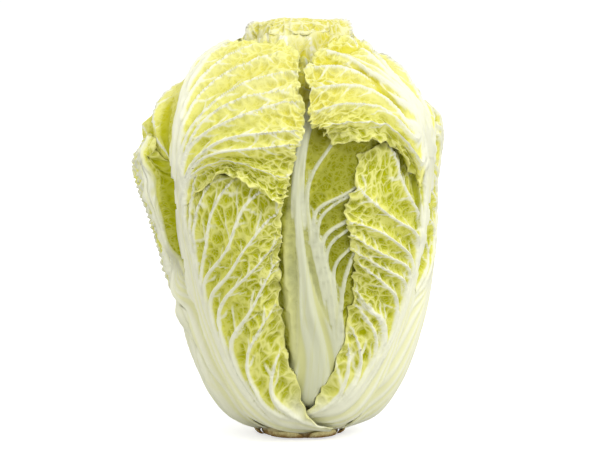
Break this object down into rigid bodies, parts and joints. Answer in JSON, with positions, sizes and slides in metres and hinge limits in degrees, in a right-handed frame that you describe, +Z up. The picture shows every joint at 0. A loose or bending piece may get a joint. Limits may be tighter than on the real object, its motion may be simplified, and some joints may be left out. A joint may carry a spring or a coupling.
{
  "type": "napa cabbage",
  "caption": "Whole napa cabbage head: a barrel of nested, crumpled yellow-green leaves with broad white ribs, standing on its cut stem.",
  "frame": {"origin": "centre of the stem's flat cut face, on the surface that the head stands on", "axes": "+Z up along the head from the cut stem to the crown; -Y is the front, where the gap between the two wrapper leaves is; +X is to the right seen from the front"},
  "size_m": [0.1966, 0.1899, 0.2588],
  "materials": {
    "wrapper_leaf": "satin crumpled leaf, yellow-green blade with near-white ribs and veins",
    "heart_leaf": "satin leaf, pale cream-yellow",
    "stem": "matte cut stem, cream with a tan rim",
    "trimmed_foot": "matte dried cut leaf base, tan to brown"
  },
  "bodies": {
    "root": {"stem": "stem", "outer_leaf_left": "wrapper_leaf", "outer_leaf_right": "wrapper_leaf", "outer_leaf_back": "wrapper_leaf", "crown_leaf_back": "wrapper_leaf", "wrapper_leaf_left": "wrapper_leaf", "wrapper_leaf_right": "wrapper_leaf", "crown_leaf_right": "wrapper_leaf", "crown_leaf_left": "wrapper_leaf", "front_leaf": "wrapper_leaf", "crown_leaf_top": "wrapper_leaf", "heart_leaf_01": "heart_leaf", "heart_leaf_02": "heart_leaf", "heart_leaf_03": "heart_leaf", "heart_leaf_04": "heart_leaf", "heart_leaf_05": "heart_leaf", "heart_leaf_06": "heart_leaf", "heart_leaf_07": "heart_leaf", "heart_leaf_08": "heart_leaf", "heart_leaf_09": "heart_leaf", "heart_leaf_10": "heart_leaf", "heart_leaf_11": "heart_leaf", "heart_bud": "heart_leaf", "trimmed_leaf_foot_1": "trimmed_foot", "trimmed_leaf_foot_2": "trimmed_foot", "trimmed_leaf_foot_3": "trimmed_foot", "trimmed_leaf_foot_4": "trimmed_foot", "trimmed_leaf_foot_5": "trimmed_foot"}
  },
  "joints": []
}
